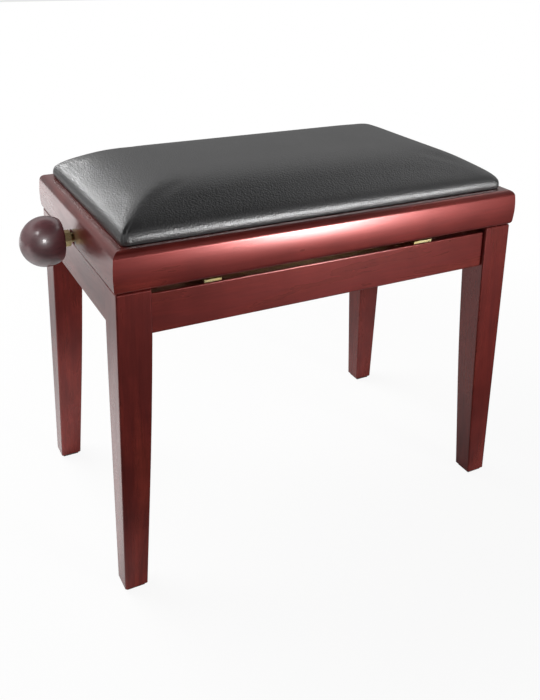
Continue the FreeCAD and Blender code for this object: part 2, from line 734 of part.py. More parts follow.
def pivot_hole(body):
    sketch = new_sketch(body, "XZ_Plane")
    ring(sketch, "0", "0", RUNNING_HOLE)
    pocket(body, sketch)


def slide_slot(body, rest):
    sketch = new_sketch(body, "XZ_Plane")
    left, right = slot_ends(rest)
    stadium(sketch, left, right, "0", "(Sizes.pivot_diameter / 2 + Sizes.link_slack)")
    pocket(body, sketch)


def flange(body, left, right, near, far, top):
    """A flange on the top edge of a plate, square to it."""
    sketch = new_sketch(body, "XY_Plane", f"{top} - Sizes.plate_thickness")
    rectangle(sketch, left, near, right, far)
    pad(body, sketch, "Sizes.plate_thickness")


def base_bracket(label, x, half_width, has_slot):
    """A plate inside the front apron, hung from a flange that is screwed to the apron's top edge."""
    body = new_body(label)
    top = f"({APRON_TOP} - {LOWER_Z} + Sizes.plate_thickness)"
    if has_slot:
        slot_ear(body, "0", top)
        slide_slot(body, "0")
    else:
        round_ear(body, top)
        pivot_hole(body)
    reach = f"({HALF_DEPTH} - {APRON_SETBACK} - Sizes.flange_setback - {BASE_PLATE_INNER})"
    flange(body, f"-{half_width}", half_width, f"-{reach}", "0", top)
    return place(body, x, f"-{BASE_PLATE_INNER}", LOWER_Z)


def seat_angle():
    """The front steel angle under the seat board: a pivot ear, a slot ear and a strip with a flange."""
    body = new_body("seat_angle_blank")
    top = f"({BOARD_BOTTOM} - {AXIS_Z})"
    left = f"-{EAR_RADIUS}"
    right = f"({slot_ends(ARM_SPAN)[1]} + {EAR_RADIUS})"
    round_ear(body, top)
    slot_ear(body, ARM_SPAN, top)
    strip = new_sketch(body, "XZ_Plane")
    rectangle(strip, left, f"{top} - Sizes.angle_strip_height", right, top)
    pad(body, strip, "Sizes.plate_thickness")
    pivot_hole(body)
    slide_slot(body, ARM_SPAN)
    flange(body, left, right, "0", "Sizes.angle_flange_width - Sizes.plate_thickness", top)
    return place(body, PIVOT_X, "-Sizes.seat_plate_offset", AXIS_Z)


def spindle_bracket(label, x):
    """A plate across the spindle with a hole for its bush, and a flange screwed to the seat board."""
    body = new_body(label)
    half = "(Sizes.spindle_plate_width / 2)"
    top = f"({BOARD_BOTTOM} - {AXIS_Z})"
    plate = new_sketch(body, "YZ_Plane")
    outline(plate, (f"-{half}", top), (f"-{half}", "0"),
            (half, "0", COUNTER_CLOCKWISE, "0", "0"), (half, top))
    ring(plate, "0", "0", BUSH_DIAMETER)
    pad(body, plate, "Sizes.plate_thickness")
    flange(body, "0", "Sizes.spindle_flange_length", f"-{half}", half, top)
    return place(body, x, "0", AXIS_Z)


def spindle_bush(label, x):
    """A nylon bush in a spindle bracket, with a flange on the knob's side."""
    start = f"{x} - Sizes.bush_flange_thickness"
    rim_diameter = f"({BUSH_DIAMETER} + 2 * Sizes.bush_flange)"
    rim = cylinder(label + "_rim", rim_diameter, "Sizes.bush_flange_thickness")
    place(rim, start, "0", AXIS_Z, ALONG_X)
    sleeve = place(cylinder(label + "_sleeve", BUSH_DIAMETER, BUSH_LENGTH), start, "0", AXIS_Z, ALONG_X)
    bore = place(cylinder(label + "_bore", BUSH_BORE, BUSH_LENGTH), start, "0", AXIS_Z, ALONG_X)
    return cut(label, fuse(label + "_solid", rim, sleeve), bore)


# Spindle, knob and nut bar

def knob():
    """A turned ball with a flat face towards the bench and a blind bore for the spindle."""
    body = new_body("knob")
    radius = "(Sizes.knob_diameter / 2)"
    centre = f"({radius} - Sizes.knob_length)"
    face = f"sqrt({radius} ^ 2 - {centre} ^ 2)"
    bore = "Sizes.spindle_diameter / 2"
    sketch = new_sketch(body, "XZ_Plane")
    outline(sketch, ("-Sizes.knob_length", "0", COUNTER_CLOCKWISE, centre, "0"),
            ("-Sizes.knob_bore_depth", "0"), ("-Sizes.knob_bore_depth", bore), ("0", bore), ("0", face))
    revolve(body, sketch, "H_Axis")
    rim = number(face)
    dress(body, "Fillet", "Sizes.knob_round",
          lambda edge: edge.BoundBox.XMin > -0.01 and abs(edge.BoundBox.ZMax - rim) < 0.01)
    return place(body, KNOB_FACE, "0", AXIS_Z)


def spindle_rod():
    start = f"{KNOB_FACE} - Sizes.knob_bore_depth"
    length = f"{TAIL_NUT_X} + Sizes.tail_nut_length + Sizes.tail_projection - ({start})"
    return place(cylinder("spindle_rod", "Sizes.spindle_diameter", length), start, "0", AXIS_Z, ALONG_X)


def spindle_nut(label, across, length, x):
    flats = place(hexagon(label + "_flats", across, length), x, "0", AXIS_Z, ALONG_X)
    bore = place(cylinder(label + "_bore", "Sizes.spindle_diameter", length), x, "0", AXIS_Z, ALONG_X)
    return cut(label, flats, bore)


def thrust_collars():
    """Two collars that hold the spindle endways on the bush by the knob."""
    before = f"{BEARING_X} - Sizes.bush_flange_thickness - Sizes.thrust_gap - Sizes.collar_length"
    after = f"{BEARING_X} - Sizes.bush_flange_thickness + {BUSH_LENGTH} + Sizes.thrust_gap"
    return group("thrust_collars", [
        tube(f"collar_{name}", "Sizes.collar_diameter", "Sizes.spindle_diameter", "Sizes.collar_length",
             x, "0", AXIS_Z, ALONG_X)
        for name, x in (("left", before), ("right", after))])


def nut_bar():
    """A square bar between the seat angles with a journal at both ends and a cross bore on the spindle."""
    body = new_body("nut_bar")
    half_bar = "(Sizes.seat_plate_offset - Sizes.arm_side_gap)"
    half_size = "Sizes.nut_bar_size / 2"
    bar = new_sketch(body, "XZ_Plane", f"-{half_bar}")
    rectangle(bar, f"-{half_size}", f"-{half_size}", half_size, half_size)
    pad(body, bar, f"2 * {half_bar}")
    journal = new_sketch(body, "XZ_Plane", f"-{NUT_BAR_HALF}")
    ring(journal, "0", "0", "Sizes.pivot_diameter")
    pad(body, journal, f"2 * {NUT_BAR_HALF}")
    bore = new_sketch(body, "YZ_Plane")
    ring(bore, "0", "0", "Sizes.spindle_diameter + 2 * Sizes.link_slack")
    pocket(body, bore)
    return place(body, SLIDE_X, "0", AXIS_Z)


# Screws

def base_bracket_screws():
    middle = f"-{HALF_DEPTH} + {APRON_SETBACK} + Sizes.apron_thickness / 2"
    head_seat = f"{APRON_TOP} + Sizes.plate_thickness"
    screws = []
    for x in (PIVOT_X, SLIDE_X):
        screws += both_sides(wood_screw(x, middle, head_seat, "Sizes.screw_length", UPRIGHT))
    return group("base_bracket_screws", screws)


def seat_angle_screws(count):
    middle = "-Sizes.seat_plate_offset + (Sizes.angle_flange_width - Sizes.plate_thickness) / 2"
    screws = []
    for step in range(count):
        x = f"{PIVOT_X} + {ARM_SPAN} * {step} / {count - 1}"
        screws += both_sides(wood_screw(x, middle, FLANGE_UNDERSIDE, "Sizes.screw_length", UPSIDE_DOWN))
    return group("seat_angle_screws", screws)


def spindle_bracket_screws():
    screws = []
    for x in (BEARING_X, TAIL_X):
        along = f"{x} + (Sizes.plate_thickness + Sizes.spindle_flange_length) / 2"
        aside = "-Sizes.spindle_plate_width / 4"
        screws += both_sides(wood_screw(along, aside, FLANGE_UNDERSIDE, "Sizes.screw_length", UPSIDE_DOWN))
    return group("spindle_bracket_screws", screws)


nodes = []


def keep(piece):
    """List a finished sub-part under its label."""
    nodes.append(piece)
    return piece


# The base
dowels = keep(apron_dowels())
corner_block, leg_bolt, leg_washer = corner_fixings()
base_screws = keep(base_bracket_screws())
base_fixings = group("base_fixings", [dowels, base_screws, leg_bolt])

leg_front_left = keep(cut("leg_front_left", leg_blank(), base_fixings))
leg_front_right = keep(mirror_ends(leg_front_left, "leg_front_right"))
keep(mirror_sides(leg_front_left, "leg_rear_left"))
keep(mirror_sides(leg_front_right, "leg_rear_right"))

long_apron = apron_blank("long_apron_blank", f"Sizes.frame_length - 2 * {LEG_INNER}")
place(long_apron, f"-{HALF_LENGTH} + {LEG_INNER}", f"-{HALF_DEPTH} + {APRON_SETBACK}", APRON_TOP)
apron_front = keep(cut("apron_front", long_apron, base_fixings))
keep(mirror_sides(apron_front, "apron_rear"))
short_apron = apron_blank("short_apron_blank", f"Sizes.frame_depth - 2 * {LEG_INNER}")
place(short_apron, f"-{HALF_LENGTH} + {APRON_SETBACK}", f"{HALF_DEPTH} - {LEG_INNER}", APRON_TOP, turn(-90))
apron_left = keep(cut("apron_left", short_apron, base_fixings))
keep(mirror_ends(apron_left, "apron_right"))

keep(group("corner_blocks", four_corners(corner_block)))
keep(group("leg_bolts", four_corners(leg_bolt)))
keep(group("leg_washers", four_corners(leg_washer)))
keep(group("foot_pads", four_corners(foot_pad())))

for name, x, width, has_slot in (
        ("pivot", PIVOT_X, "Sizes.pivot_flange_width", False),
        ("slide", SLIDE_X, "Sizes.slide_flange_width", True)):
    blank = base_bracket(f"{name}_bracket_blank", x, f"({width} / 2)", has_slot)
    bracket = keep(cut(f"base_{name}_bracket_front", blank, base_screws))
    keep(mirror_sides(bracket, f"base_{name}_bracket_rear"))

# The seat
for rail in seat_rails():
    keep(rail)
seat_block, board_screw = seat_block_fixings()
keep(group("seat_corner_blocks", four_corners(seat_block)))
board_screws = keep(group("seat_board_screws", four_corners(board_screw)))
angle_screws = keep(seat_angle_screws(4))
bracket_screws = keep(spindle_bracket_screws())
board_blank = seat_board_blank()
keep(cut("seat_board", board_blank, group("board_fixings", [board_screws, angle_screws, bracket_screws])))
cushion = crowned_form("cushion_inside", "Sizes.cover_thickness", BOARD_BOTTOM)
keep(cut("foam_pad", cushion, board_blank))
keep(seat_cover(cushion, board_screws))

angle_front = keep(cut("seat_angle_front", seat_angle(), angle_screws))
keep(mirror_sides(angle_front, "seat_angle_rear"))
seat_pin = headed_pin("seat_pivot_pin", "Sizes.pivot_diameter", "Sizes.seat_plate_offset",
                      f"({ARM_B_OUTER} + Sizes.head_gap)", PIVOT_X, AXIS_Z)
keep(group("seat_pivot_pins", both_sides(seat_pin)))
for name, x in (("bearing", BEARING_X), ("tail", TAIL_X)):
    keep(cut(f"spindle_{name}_bracket", spindle_bracket(f"{name}_bracket_blank", x), bracket_screws))
    keep(spindle_bush(f"spindle_{name}_bush", x))

# The crossed arms
arm_a = keep(arm("arm_a_front", "Sizes.pivot_diameter", RUNNING_HOLE, "Sizes.centre_pin_diameter",
                 f"-{ARM_A_INNER}", LOWER_Z, -1))
keep(mirror_sides(arm_a, "arm_a_rear"))
arm_b = keep(arm("arm_b_front", RUNNING_HOLE, "Sizes.pivot_diameter",
                 "Sizes.centre_pin_diameter + 2 * Sizes.link_slack", f"-{ARM_B_INNER}", AXIS_Z, 1))
keep(mirror_sides(arm_b, "arm_b_rear"))
centre_pin = headed_pin("centre_pin", "Sizes.centre_pin_diameter", f"({ARM_B_INNER} - Sizes.head_gap)",
                        ARM_A_OUTER, f"{PIVOT_X} + {ARM_SPAN} / 2", f"{AXIS_Z} - Sizes.scissor_gap / 2")
keep(group("centre_pins", both_sides(centre_pin)))
keep(cross_shaft("base_pivot_shaft", SHAFT_HALF, PIVOT_X, LOWER_Z))
keep(cross_shaft("lower_slide_shaft", SHAFT_HALF, SLIDE_X, LOWER_Z))
keep(clips("pivot_shaft_clips", BASE_PLATE_OUTER, PIVOT_X, LOWER_Z))
keep(clips("slide_shaft_clips", BASE_PLATE_OUTER, SLIDE_X, LOWER_Z))
keep(nut_bar())
keep(clips("nut_bar_clips", ARM_A_OUTER, SLIDE_X, AXIS_Z))

# The spindle
keep(spindle_rod())
keep(knob())
keep(spindle_nut("lock_nut", "Sizes.lock_nut_across", "Sizes.lock_nut_length", KNOB_FACE))
keep(thrust_collars())
keep(spindle_nut("tail_nut", "Sizes.lock_nut_across", "Sizes.tail_nut_length", TAIL_NUT_X))

doc.recompute()
for piece in doc.Objects:
    if "Invalid" in piece.State or "Error" in piece.State:
        raise RuntimeError(f"{piece.Label} did not build: {piece.State}")
for piece in nodes:
    if piece.Shape.isNull() or not piece.Shape.isValid() or not piece.Shape.Solids:
        raise RuntimeError(f"{piece.Label} has no valid solid")

os.makedirs("parts", exist_ok=True)
for piece in nodes:
    piece.Shape.exportStep(os.path.join("parts", piece.Label + ".step"))
print(len(nodes), "sub-parts")
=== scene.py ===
# %% [markdown]
# # An adjustable piano bench
# The solid model of the bench comes from CAD and is the fixed frame of this lesson: every piece keeps the
# place and the size that it has there. What is added here is what the eye sees: the lacquered wood, the
# vinyl cushion, the plated steel and the small turned and threaded pieces.

# %% Load the frame
import json
import math
import bmesh
import bpy
from mathutils import Matrix, Vector


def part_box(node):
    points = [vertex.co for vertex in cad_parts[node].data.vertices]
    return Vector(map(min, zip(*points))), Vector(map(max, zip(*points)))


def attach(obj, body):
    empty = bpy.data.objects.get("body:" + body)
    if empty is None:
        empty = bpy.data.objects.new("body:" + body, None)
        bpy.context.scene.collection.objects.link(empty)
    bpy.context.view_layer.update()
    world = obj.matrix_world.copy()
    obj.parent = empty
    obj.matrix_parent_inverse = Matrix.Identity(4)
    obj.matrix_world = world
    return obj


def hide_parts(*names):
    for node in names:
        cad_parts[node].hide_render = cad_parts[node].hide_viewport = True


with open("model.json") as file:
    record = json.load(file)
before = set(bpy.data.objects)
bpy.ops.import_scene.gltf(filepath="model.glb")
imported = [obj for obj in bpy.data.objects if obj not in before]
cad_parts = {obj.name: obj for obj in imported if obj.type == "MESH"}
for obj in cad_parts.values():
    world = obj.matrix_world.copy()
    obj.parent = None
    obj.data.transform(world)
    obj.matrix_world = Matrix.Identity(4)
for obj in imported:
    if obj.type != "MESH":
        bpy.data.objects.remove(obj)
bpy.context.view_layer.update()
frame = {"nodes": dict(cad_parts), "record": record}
nodes = frame["nodes"]
MM = 0.001

# %% [markdown]
# ## The camera
# The photograph was taken from the front left, a little above the seat, with the lens shifted down so that
# the legs stay nearly upright. A camera could be aimed with a Track To constraint, but a small roll and the
# shift are easier to set from the camera's own three axes, so its matrix is built from them.

# %% Camera
CAMERA_PLACE = Vector((-0.4889, -0.9595, 0.7645))
CAMERA_AZIMUTH = math.radians(-27.635)
CAMERA_ELEVATION = math.radians(16.978)
CAMERA_ROLL = math.radians(1.142)
CAMERA_LENS = 43.161
CAMERA_SHIFT = 0.0107, -0.2357

camera_back = Vector((math.sin(CAMERA_AZIMUTH) * math.cos(CAMERA_ELEVATION),
                      -math.cos(CAMERA_AZIMUTH) * math.cos(CAMERA_ELEVATION),
                      math.sin(CAMERA_ELEVATION)))
level_right = (-camera_back).cross(Vector((0, 0, 1))).normalized()
level_up = level_right.cross(-camera_back)
camera_right = level_right * math.cos(CAMERA_ROLL) + level_up * math.sin(CAMERA_ROLL)
camera_up = level_up * math.cos(CAMERA_ROLL) - level_right * math.sin(CAMERA_ROLL)

bpy.ops.object.select_all(action="DESELECT")
bpy.ops.object.camera_add()
camera = bpy.context.active_object
camera.name = "photo_camera"
turned = Matrix((camera_right, camera_up, camera_back)).transposed().to_4x4()
camera.matrix_world = Matrix.Translation(CAMERA_PLACE) @ turned
camera.data.lens = CAMERA_LENS
camera.data.sensor_width = 36
camera.data.shift_x, camera.data.shift_y = CAMERA_SHIFT
camera.data.clip_start = 0.02
bpy.context.scene.camera = camera
print("camera at", [round(v, 3) for v in CAMERA_PLACE], "lens", CAMERA_LENS)

# %% [markdown]
# ## Floor and light
# A bench in a catalogue stands on white paper in front of a bright background. The camera should see clean
# white with only a soft shadow at the feet, but the lacquer mirrors the paper too, and in the photograph the
# front faces mirror something dark while the left faces mirror something bright. So the paper has two
# looks, switched by the Light Path node: nearly white to the camera, and for all other rays a paper that is
# white on the left of the bench, grey in front of it, under it and behind it, and white again far away.

# %% Paper floor
bpy.ops.object.select_all(action="DESELECT")
bpy.ops.mesh.primitive_plane_add(size=16, location=(0, 0, -0.0005))
paper = bpy.context.active_object
paper.name = "paper_floor"
paper_finish = bpy.data.materials.new("white_paper")
paper_finish.use_nodes = True
paper.data.materials.append(paper_finish)
floor_tree = paper_finish.node_tree
floor_tree.nodes.clear()


def smooth_range(tree, value, start, end, low, high):
    """A soft step from low to high while a value goes from start to end."""
    node = tree.nodes.new("ShaderNodeMapRange")
    node.interpolation_type = "SMOOTHSTEP"
    node.inputs["From Min"].default_value = start
    node.inputs["From Max"].default_value = end
    node.inputs["To Min"].default_value = low
    node.inputs["To Max"].default_value = high
    tree.links.new(value, node.inputs["Value"])
    return node.outputs["Result"]


def times(tree, first, second):
    """The product of two values."""
    node = tree.nodes.new("ShaderNodeMath")
    node.operation = "MULTIPLY"
    tree.links.new(first, node.inputs[0])
    tree.links.new(second, node.inputs[1])
    return node.outputs[0]


def mix_shaders(tree, share, first, second):
    """A blend of two shaders, all of the second where the share is 1."""
    node = tree.nodes.new("ShaderNodeMixShader")
    tree.links.new(share, node.inputs[0])
    tree.links.new(first, node.inputs[1])
    tree.links.new(second, node.inputs[2])
    return node.outputs[0]


floor_places = floor_tree.nodes.new("ShaderNodeTexCoord").outputs["Object"]
floor_axes = floor_tree.nodes.new("ShaderNodeSeparateXYZ")
floor_tree.links.new(floor_places, floor_axes.inputs[0])
floor_far = floor_tree.nodes.new("ShaderNodeVectorMath")
floor_far.operation = "LENGTH"
floor_tree.links.new(floor_places, floor_far.inputs[0])
mirrored_paper = floor_tree.nodes.new("ShaderNodeBsdfDiffuse")
paper_near = smooth_range(floor_tree, floor_axes.outputs["Y"], -0.35, -0.05, 0.08, 0.95)
paper_far = smooth_range(floor_tree, floor_axes.outputs["Y"], 0.05, 0.6, 1.0, 0.42)
paper_end = smooth_range(floor_tree, floor_axes.outputs["Y"], 0.8, 1.3, 1.0, 2.2)
paper_side = smooth_range(floor_tree, floor_axes.outputs["X"], -0.30, -0.08, 1.0, 0.55)
paper_tone = times(floor_tree, times(floor_tree, paper_near, paper_far), paper_end)
floor_tree.links.new(times(floor_tree, paper_tone, paper_side), mirrored_paper.inputs["Color"])
seen_paper = floor_tree.nodes.new("ShaderNodeBsdfDiffuse")
seen_paper.inputs["Color"].default_value = (0.9, 0.9, 0.9, 1)
white_glow = floor_tree.nodes.new("ShaderNodeEmission")
white_share = smooth_range(floor_tree, floor_far.outputs["Value"], 0.5, 1.2, 0.92, 1.0)
seen_floor = mix_shaders(floor_tree, white_share, seen_paper.outputs[0], white_glow.outputs[0])
floor_ray = floor_tree.nodes.new("ShaderNodeLightPath").outputs["Is Camera Ray"]
floor_out = floor_tree.nodes.new("ShaderNodeOutputMaterial")
floor_tree.links.new(mix_shaders(floor_tree, floor_ray, mirrored_paper.outputs[0], seen_floor),
                     floor_out.inputs["Surface"])
print("paper floor with a soft shadow")

# %% [markdown]
# The key light is a soft box low at the front right: it draws the white line on the front rail's rounded
# top and the grainy one on the edge of the vinyl. A narrow box behind on the left lights the left slope of
# the cushion and nothing else, one at the right its crest, and a wide one overhead at the back lights the
# paper that the left faces mirror. A weak box fills the front. By light linking, one lamp adds the haze on
# the front rail alone, and two give the knob its round highlights.

# %% Soft boxes and lamps
def soft_box(name, place, aim, width, height, watts, mirrored=True):
    """A rectangular lamp that the camera doesn't see, and a shiny piece only if it is to be mirrored."""
    bpy.ops.object.light_add(type="AREA", location=place)
    lamp = bpy.context.active_object
    lamp.name = name
    lamp.rotation_euler = (Vector(aim) - Vector(place)).to_track_quat("-Z", "Y").to_euler()
    lamp.data.shape = "RECTANGLE"
    lamp.data.size = width
    lamp.data.size_y = height
    lamp.data.energy = watts
    lamp.visible_camera = False
    lamp.visible_glossy = mirrored
    return lamp


soft_box("key_box", (0.91, -1.81, 0.25), (0.0, -0.165, 0.42), 0.36, 0.34, 26)
back_box = soft_box("back_box", (-0.70, 1.84, 1.07), (-0.225, 0, 0.455), 0.25, 0.25, 6.5)
soft_box("crest_box", (1.59, 0.175, 2.15), (0.2, -0.12, 0.46), 0.4, 0.4, 0.6)
soft_box("paper_box", (-1.2, 1.5, 2.0), (-0.75, 0.45, 0), 2.0, 1.4, 62, mirrored=False)
soft_box("fill_box", (-1.6, -2.6, 1.6), (0, 0, 0.3), 2.0, 1.6, 4)
rail_lamp = soft_box("rail_lamp", (0.66, -1.35, 0.14), (0, -0.165, 0.41), 0.24, 0.20, 3.4)
near_lamp = soft_box("near_lamp", (-0.58, -1.02, 0.80), (-0.28, 0, 0.4), 0.26, 0.26, 4)
upper_lamp = soft_box("upper_lamp", (-1.1, -0.35, 1.5), (-0.28, 0, 0.4), 0.30, 0.30, 2.5)


def light_only(lamps, piece):
    """Let lamps shine on one piece and on nothing else."""
    lit = bpy.data.collections.new(f"lit_{piece.name}")
    lit.objects.link(piece)
    for lamp in lamps:
        lamp.light_linking.receiver_collection = lit


light_only([rail_lamp], nodes["seat_rail_front"])
light_only([near_lamp, upper_lamp], nodes["knob"])
print("five soft boxes and three small lamps")

# %% [markdown]
# The world is the rest of the room. An image of a studio would do, but three soft steps are enough: brighter
# behind the bench than in front of it, brighter with height, and dark overhead. To the camera it is white.

# %% World
world = bpy.data.worlds.new("studio")
bpy.context.scene.world = world
world.use_nodes = True
sky = world.node_tree
sky.nodes.clear()
sky_axes = sky.nodes.new("ShaderNodeSeparateXYZ")
sky.links.new(sky.nodes.new("ShaderNodeTexCoord").outputs["Generated"], sky_axes.inputs[0])

sky_depth = smooth_range(sky, sky_axes.outputs["Y"], -0.35, 0.05, 0.3, 1.0)
sky_height = smooth_range(sky, sky_axes.outputs["Z"], 0.3, 0.6, 0.46, 0.95)
sky_roof = smooth_range(sky, sky_axes.outputs["Z"], 0.68, 0.80, 1.0, 0.02)
sky_tone = times(sky, times(sky, sky_depth, sky_height), sky_roof)
sky_seen = sky.nodes.new("ShaderNodeMath")
sky_seen.operation = "MAXIMUM"
sky.links.new(sky.nodes.new("ShaderNodeLightPath").outputs["Is Camera Ray"], sky_seen.inputs[0])
sky.links.new(sky_tone, sky_seen.inputs[1])
sky_glow = sky.nodes.new("ShaderNodeBackground")
sky.links.new(sky_seen.outputs[0], sky_glow.inputs["Strength"])
sky.links.new(sky_glow.outputs[0], sky.nodes.new("ShaderNodeOutputWorld").inputs["Surface"])
bpy.context.scene.view_settings.view_transform = "Standard"
print("bright background, dark ceiling")

# %% [markdown]
# ## Lacquered wood
# The frame and the legs are stained red-brown under a semi-gloss lacquer. Fine grain runs along each piece,
# with darker pores and a soft mottling. An image of wood would show seams, so the grain is noise that is
# stretched along one axis of the bench. There is one finish for each axis, because the rails, the end
# pieces and the legs run three ways. The lacquer is the shader's coat over a rougher wood.

# %% Wood finishes
AXES = {"x": 0, "y": 1, "z": 2}


def finish(name):
    """A new finish with its shader and a node that gives places on the bench."""
    made = bpy.data.materials.new(name)
    made.use_nodes = True
    tree = made.node_tree
    shader = tree.nodes["Principled BSDF"]
    places = tree.nodes.new("ShaderNodeTexCoord").outputs["Object"]
    return made, tree, shader, places


def stretched(tree, places, along, fine, axis):
    """Places stretched along one axis, in cells per metre along it and across it."""
    mapping = tree.nodes.new("ShaderNodeMapping")
    scale = [fine, fine, fine]
    scale[AXES[axis]] = along
    mapping.inputs["Scale"].default_value = scale
    tree.links.new(places, mapping.inputs["Vector"])
    return mapping.outputs["Vector"]


def noise(tree, places, scale, detail, roughness=0.55, distortion=0.0):
    """A noise value, in cells per metre unless the places are stretched."""
    texture = tree.nodes.new("ShaderNodeTexNoise")
    texture.inputs["Scale"].default_value = scale
    texture.inputs["Detail"].default_value = detail
    texture.inputs["Roughness"].default_value = roughness
    texture.inputs["Distortion"].default_value = distortion
    tree.links.new(places, texture.inputs["Vector"])
    return texture.outputs["Fac"]


def ramp(tree, value, *stops):
    """A colour ramp through (place, colour) stops."""
    node = tree.nodes.new("ShaderNodeValToRGB")
    while len(node.color_ramp.elements) < len(stops):
        node.color_ramp.elements.new(0.5)
    for element, (place, colour) in zip(node.color_ramp.elements, stops):
        element.position = place
        element.color = (*colour, 1)
    tree.links.new(value, node.inputs["Fac"])
    return node.outputs["Color"]


def blend_colours(tree, kind, share, first, second):
    """Two colours blended by one of the paint modes."""
    node = tree.nodes.new("ShaderNodeMix")
    node.data_type = "RGBA"
    node.blend_type = kind
    node.inputs[0].default_value = share
    tree.links.new(first, node.inputs[6])
    tree.links.new(second, node.inputs[7])
    return node.outputs[2]


def spread(tree, value, low, high):
    """A noise value turned into a range, for the roughness."""
    node = tree.nodes.new("ShaderNodeMapRange")
    node.inputs["From Min"].default_value = 0.3
    node.inputs["From Max"].default_value = 0.7
    node.inputs["To Min"].default_value = low
    node.inputs["To Max"].default_value = high
    tree.links.new(value, node.inputs["Value"])
    return node.outputs["Result"]


def raise_surface(tree, shader, height, depth, strength):
    """A fine relief, in metres of depth."""
    bump = tree.nodes.new("ShaderNodeBump")
    bump.inputs["Strength"].default_value = strength
    bump.inputs["Distance"].default_value = depth
    tree.links.new(height, bump.inputs["Height"])
    tree.links.new(bump.outputs["Normal"], shader.inputs["Normal"])


def grey(level):
    return (level, level, level)


def wood(name, axis, dark, middle, light, pore, coat, coat_roughness, rough, tint=(1, 1, 1)):
    """Wood whose grain runs along one axis of the bench."""
    made, tree, shader, places = finish(name)
    figure = noise(tree, stretched(tree, places, 5, 38, axis), 1, 4, 0.6, 0.8)
    grain = noise(tree, stretched(tree, places, 11, 330, axis), 1, 5, 0.65)
    pores = noise(tree, stretched(tree, places, 70, 1500, axis), 1, 2, 0.5)
    mottle = noise(tree, places, 22, 3, 0.5)
    colour = ramp(tree, figure, (0.30, dark), (0.5, middle), (0.72, light))
    streaks = ramp(tree, grain, (0.32, grey(0.62)), (0.5, grey(0.95)), (0.68, grey(1.10)))
    colour = blend_colours(tree, "MULTIPLY", 0.7, colour, streaks)
    clouds = ramp(tree, mottle, (0.3, grey(0.65)), (0.7, grey(1.25)))
    colour = blend_colours(tree, "MULTIPLY", 0.8, colour, clouds)
    specks = ramp(tree, pores, (0.30, grey(pore)), (0.40, grey(1.0)))
    colour = blend_colours(tree, "MULTIPLY", 0.6, colour, specks)
    tree.links.new(colour, shader.inputs["Base Color"])
    tree.links.new(spread(tree, figure, rough + 0.08, rough - 0.05), shader.inputs["Roughness"])
    shader.inputs["Specular Tint"].default_value = (*tint, 1)
    shader.inputs["Specular IOR Level"].default_value = 1.0
    shader.inputs["IOR"].default_value = 1.6
    shader.inputs["Coat Weight"].default_value = coat
    shader.inputs["Coat Roughness"].default_value = coat_roughness
    shader.inputs["Coat IOR"].default_value = 1.5
    raise_surface(tree, shader, pores, 0.0002, 0.08)
    return made


RED_TONES = (0.060, 0.010, 0.009), (0.118, 0.016, 0.013), (0.185, 0.027, 0.019)
RED_SHINE = (1.0, 0.12, 0.10)
KNOB_TONES = (0.085, 0.026, 0.031), (0.115, 0.036, 0.042), (0.145, 0.05, 0.056)
BEECH_TONES = (0.36, 0.22, 0.11), (0.50, 0.33, 0.18), (0.62, 0.44, 0.26)
VENEER_TONES = (0.42, 0.28, 0.15), (0.55, 0.39, 0.22), (0.66, 0.49, 0.30)
mahogany = {axis: wood(f"mahogany_along_{axis}", axis, *RED_TONES, pore=0.5, coat=1.0, coat_roughness=0.22,
                       rough=0.28, tint=RED_SHINE)
            for axis in AXES}
knob_wood = wood("knob_lacquer", "x", *KNOB_TONES, pore=0.8, coat=0.9, coat_roughness=0.14, rough=0.40)
block_wood = wood("block_wood", "x", *BEECH_TONES, pore=0.7, coat=0.0, coat_roughness=0.3, rough=0.62)
plywood = wood("plywood", "x", *VENEER_TONES, pore=0.75, coat=0.0, coat_roughness=0.3, rough=0.66)
print("wood finishes:", ", ".join(m.name for m in (*mahogany.values(), knob_wood, block_wood, plywood)))

# %% [markdown]
# ## Vinyl, metal and plastic
# The cover is black vinyl with a fine pebble grain. Its shine is broken up by that grain, which is a cell
# pattern in the bump, about one millimetre across. The steel of the lift is plated yellow and has a faint
# cloudy tint, and the bolts are bright. A single flat colour would look like paint, so each finish has
# noise in its colour or in its roughness.

# %% Vinyl, metal and plastic finishes
def vinyl():
    """Black vinyl with pebbles and fine wrinkles in its relief."""
    made, tree, shader, places = finish("black_vinyl")
    pebbles = tree.nodes.new("ShaderNodeTexVoronoi")
    pebbles.feature = "SMOOTH_F1"
    pebbles.inputs["Scale"].default_value = 460
    pebbles.inputs["Smoothness"].default_value = 0.6
    tree.links.new(places, pebbles.inputs["Vector"])
    wrinkles = noise(tree, places, 420, 4, 0.6)
    both = tree.nodes.new("ShaderNodeMath")
    both.operation = "SUBTRACT"
    tree.links.new(wrinkles, both.inputs[0])
    tree.links.new(pebbles.outputs["Distance"], both.inputs[1])
    worn = noise(tree, places, 9, 4, 0.6)
    colour = ramp(tree, worn, (0.3, (0.009, 0.009, 0.0095)), (0.7, (0.015, 0.015, 0.016)))
    tree.links.new(colour, shader.inputs["Base Color"])
    tree.links.new(spread(tree, worn, 0.40, 0.46), shader.inputs["Roughness"])
    shader.inputs["IOR"].default_value = 1.8
    shader.inputs["Specular IOR Level"].default_value = 1.0
    raise_surface(tree, shader, both.outputs[0], 0.0004, 0.75)
    return made


def plated(name, dull, bright, low_rough, high_rough):
    """Plated steel with a cloudy tint and fine scratches."""
    made, tree, shader, places = finish(name)
    clouds = noise(tree, places, 60, 4, 0.6)
    colour = ramp(tree, clouds, (0.32, dull), (0.68, bright))
    tree.links.new(colour, shader.inputs["Base Color"])
    shader.inputs["Metallic"].default_value = 1
    scratches = noise(tree, places, 700, 3, 0.6)
    tree.links.new(spread(tree, scratches, low_rough, high_rough), shader.inputs["Roughness"])
    raise_surface(tree, shader, scratches, 0.0001, 0.06)
    return made


